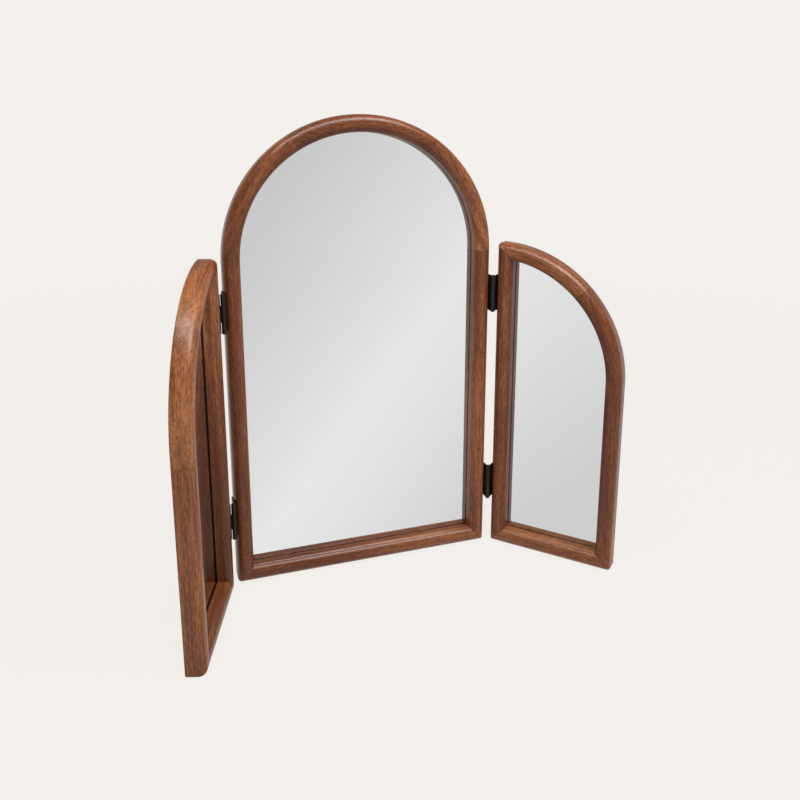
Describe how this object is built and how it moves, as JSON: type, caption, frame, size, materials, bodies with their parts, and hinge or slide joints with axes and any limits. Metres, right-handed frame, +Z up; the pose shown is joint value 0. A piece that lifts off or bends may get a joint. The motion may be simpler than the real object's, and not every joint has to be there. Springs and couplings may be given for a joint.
{
  "type": "folding arched mirror",
  "caption": "Free-standing arched hairdressing mirror: a round-topped centre panel and two hinged quarter-arched wings, each a mirror glass in a rounded walnut frame.",
  "frame": {"origin": "on the underside of the centre panel, midway along it and midway through its depth", "axes": "+X along the centre panel, to the right as seen from the mirror side; +Z up; -Y towards the mirror side, so +Y is out of the back"},
  "size_m": [0.5851, 0.1966, 0.615],
  "materials": {
    "walnut": "satin varnish",
    "mirror": "silvered glass",
    "backing": "dark stained hardboard",
    "black_metal": "black satin",
    "steel": "zinc plated"
  },
  "bodies": {
    "centre_panel": {"centre_arch_left": "walnut", "centre_arch_right": "walnut", "centre_arch_top": "walnut", "centre_back_board": "backing", "centre_board_screw_1": "steel", "centre_board_screw_2": "steel", "centre_board_screw_3": "steel", "centre_board_screw_4": "steel", "centre_bottom_rail": "walnut", "centre_left_stile": "walnut", "centre_mirror": "mirror", "centre_right_stile": "walnut", "left_lower_hinge_fixed_leaf": "black_metal", "left_lower_hinge_fixed_screw_1": "black_metal", "left_lower_hinge_fixed_screw_2": "black_metal", "left_lower_hinge_pin": "black_metal", "left_upper_hinge_fixed_leaf": "black_metal", "left_upper_hinge_fixed_screw_1": "black_metal", "left_upper_hinge_fixed_screw_2": "black_metal", "left_upper_hinge_pin": "black_metal", "right_lower_hinge_fixed_leaf": "black_metal", "right_lower_hinge_fixed_screw_1": "black_metal", "right_lower_hinge_fixed_screw_2": "black_metal", "right_lower_hinge_pin": "black_metal", "right_upper_hinge_fixed_leaf": "black_metal", "right_upper_hinge_fixed_screw_1": "black_metal", "right_upper_hinge_fixed_screw_2": "black_metal", "right_upper_hinge_pin": "black_metal"},
    "left_wing": {"left_lower_hinge_moving_leaf": "black_metal", "left_lower_hinge_moving_screw_1": "black_metal", "left_lower_hinge_moving_screw_2": "black_metal", "left_upper_hinge_moving_leaf": "black_metal", "left_upper_hinge_moving_screw_1": "black_metal", "left_upper_hinge_moving_screw_2": "black_metal", "left_wing_arch_lower": "walnut", "left_wing_arch_upper": "walnut", "left_wing_back_board": "backing", "left_wing_board_screw_1": "steel", "left_wing_board_screw_2": "steel", "left_wing_board_screw_3": "steel", "left_wing_bottom_rail": "walnut", "left_wing_hinge_stile": "walnut", "left_wing_mirror": "mirror", "left_wing_outer_stile": "walnut"},
    "right_wing": {"right_lower_hinge_moving_leaf": "black_metal", "right_lower_hinge_moving_screw_1": "black_metal", "right_lower_hinge_moving_screw_2": "black_metal", "right_upper_hinge_moving_leaf": "black_metal", "right_upper_hinge_moving_screw_1": "black_metal", "right_upper_hinge_moving_screw_2": "black_metal", "right_wing_arch_lower": "walnut", "right_wing_arch_upper": "walnut", "right_wing_back_board": "backing", "right_wing_board_screw_1": "steel", "right_wing_board_screw_2": "steel", "right_wing_board_screw_3": "steel", "right_wing_bottom_rail": "walnut", "right_wing_hinge_stile": "walnut", "right_wing_mirror": "mirror", "right_wing_outer_stile": "walnut"}
  },
  "joints": [
    {"name": "left_hinge", "type": "hinge", "parent": "centre_panel", "child": "left_wing", "pos_m": [-0.1824, -0.0145, 0.2225], "axis": [0, 0, 1], "range_deg": [-72.4, 107.6]},
    {"name": "right_hinge", "type": "hinge", "parent": "centre_panel", "child": "right_wing", "pos_m": [0.1824, -0.0145, 0.2225], "axis": [0, 0, -1], "range_deg": [-48.3, 131.7]}
  ]
}
